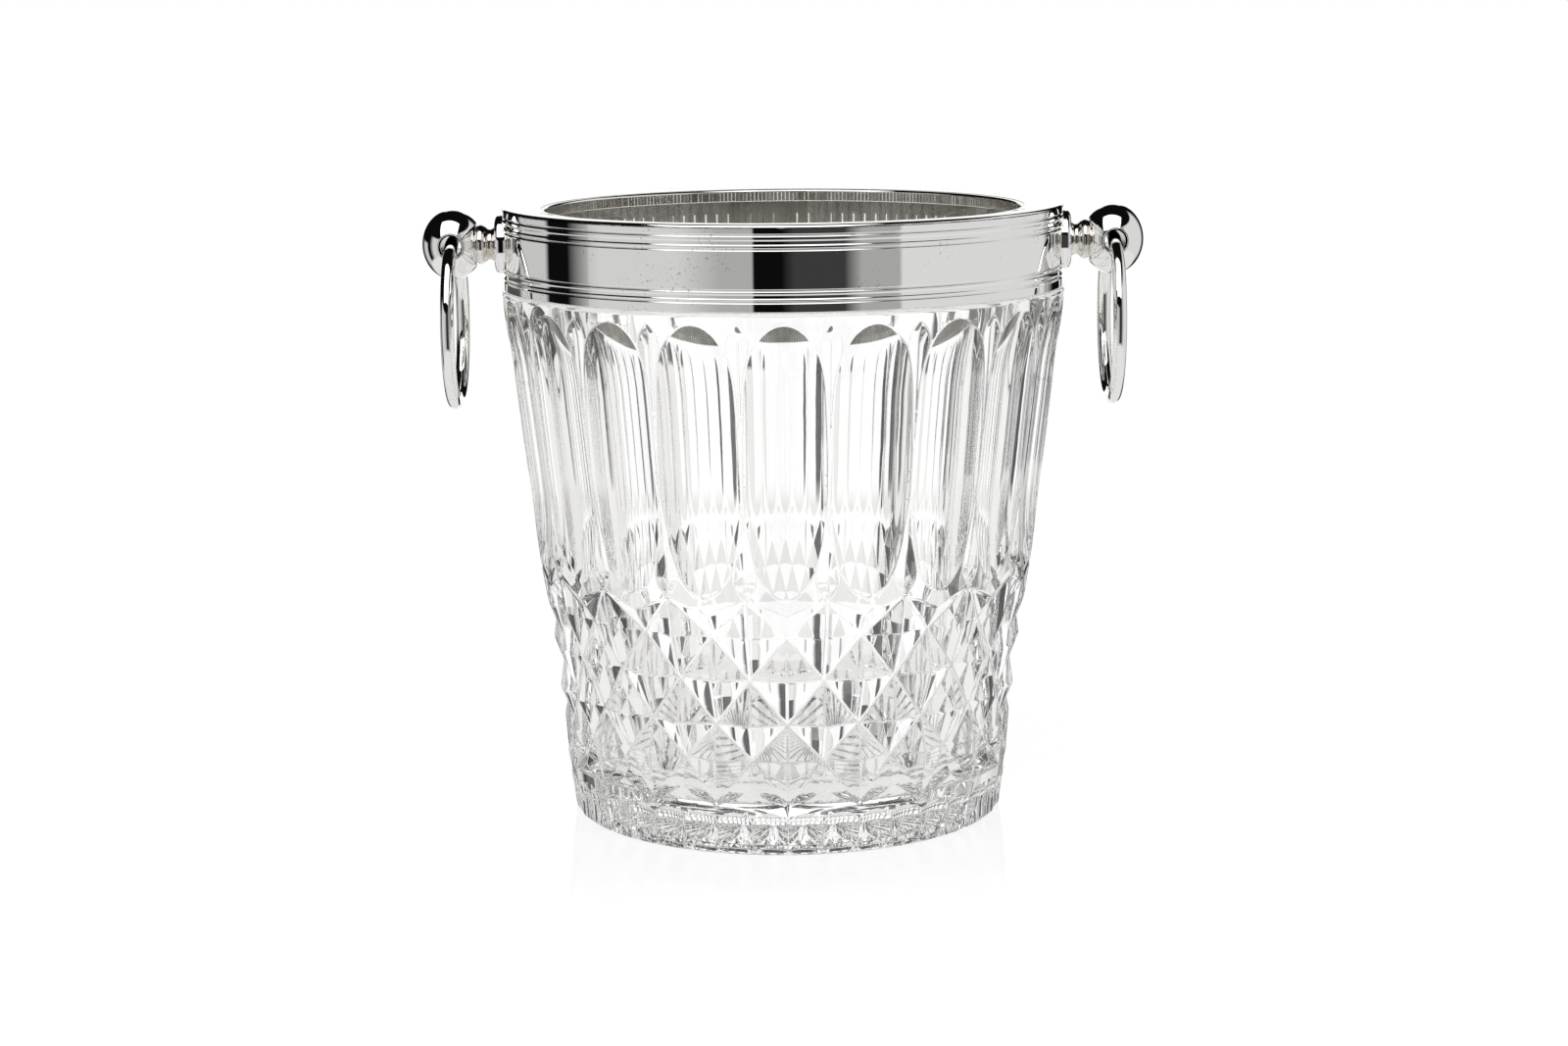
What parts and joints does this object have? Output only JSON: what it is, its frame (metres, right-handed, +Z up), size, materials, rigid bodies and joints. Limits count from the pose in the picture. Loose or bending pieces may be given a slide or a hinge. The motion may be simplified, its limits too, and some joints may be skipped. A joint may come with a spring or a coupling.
{
  "type": "champagne bucket",
  "caption": "Cut-glass champagne bucket with a silver-plated collar and a hanging ring handle on each side.",
  "frame": {"origin": "centre of the foot, on the table", "axes": "+Z up, +X through the two handles"},
  "size_m": [0.2644, 0.2064, 0.2255],
  "materials": {
    "crystal": "clear cut crystal, polished",
    "silver_plate": "bright silver plate over brass, faint tarnish specks and darker grooves",
    "worn_plate": "silver plate worn and yellowed by handling",
    "bare_brass": "plain turned brass",
    "plaster": "matte set plaster"
  },
  "bodies": {
    "bucket": {"glass_body": "crystal", "collar": "silver_plate", "cement_bed": "plaster", "left_escutcheon": "silver_plate", "left_neck": "worn_plate", "left_ball": "silver_plate", "left_washer": "bare_brass", "left_nut": "bare_brass", "right_escutcheon": "silver_plate", "right_neck": "worn_plate", "right_ball": "silver_plate", "right_washer": "bare_brass", "right_nut": "bare_brass"},
    "left_ring": {"left_ring": "silver_plate"},
    "right_ring": {"right_ring": "silver_plate"}
  },
  "joints": [
    {"name": "left_ring_swing", "type": "hinge", "parent": "bucket", "child": "left_ring", "pos_m": [-0.1209, 0, 0.211], "axis": [0, 1, 0], "range_deg": [-19, 231]},
    {"name": "right_ring_swing", "type": "hinge", "parent": "bucket", "child": "right_ring", "pos_m": [0.1209, 0, 0.211], "axis": [0, -1, 0], "range_deg": [-19, 231]}
  ]
}
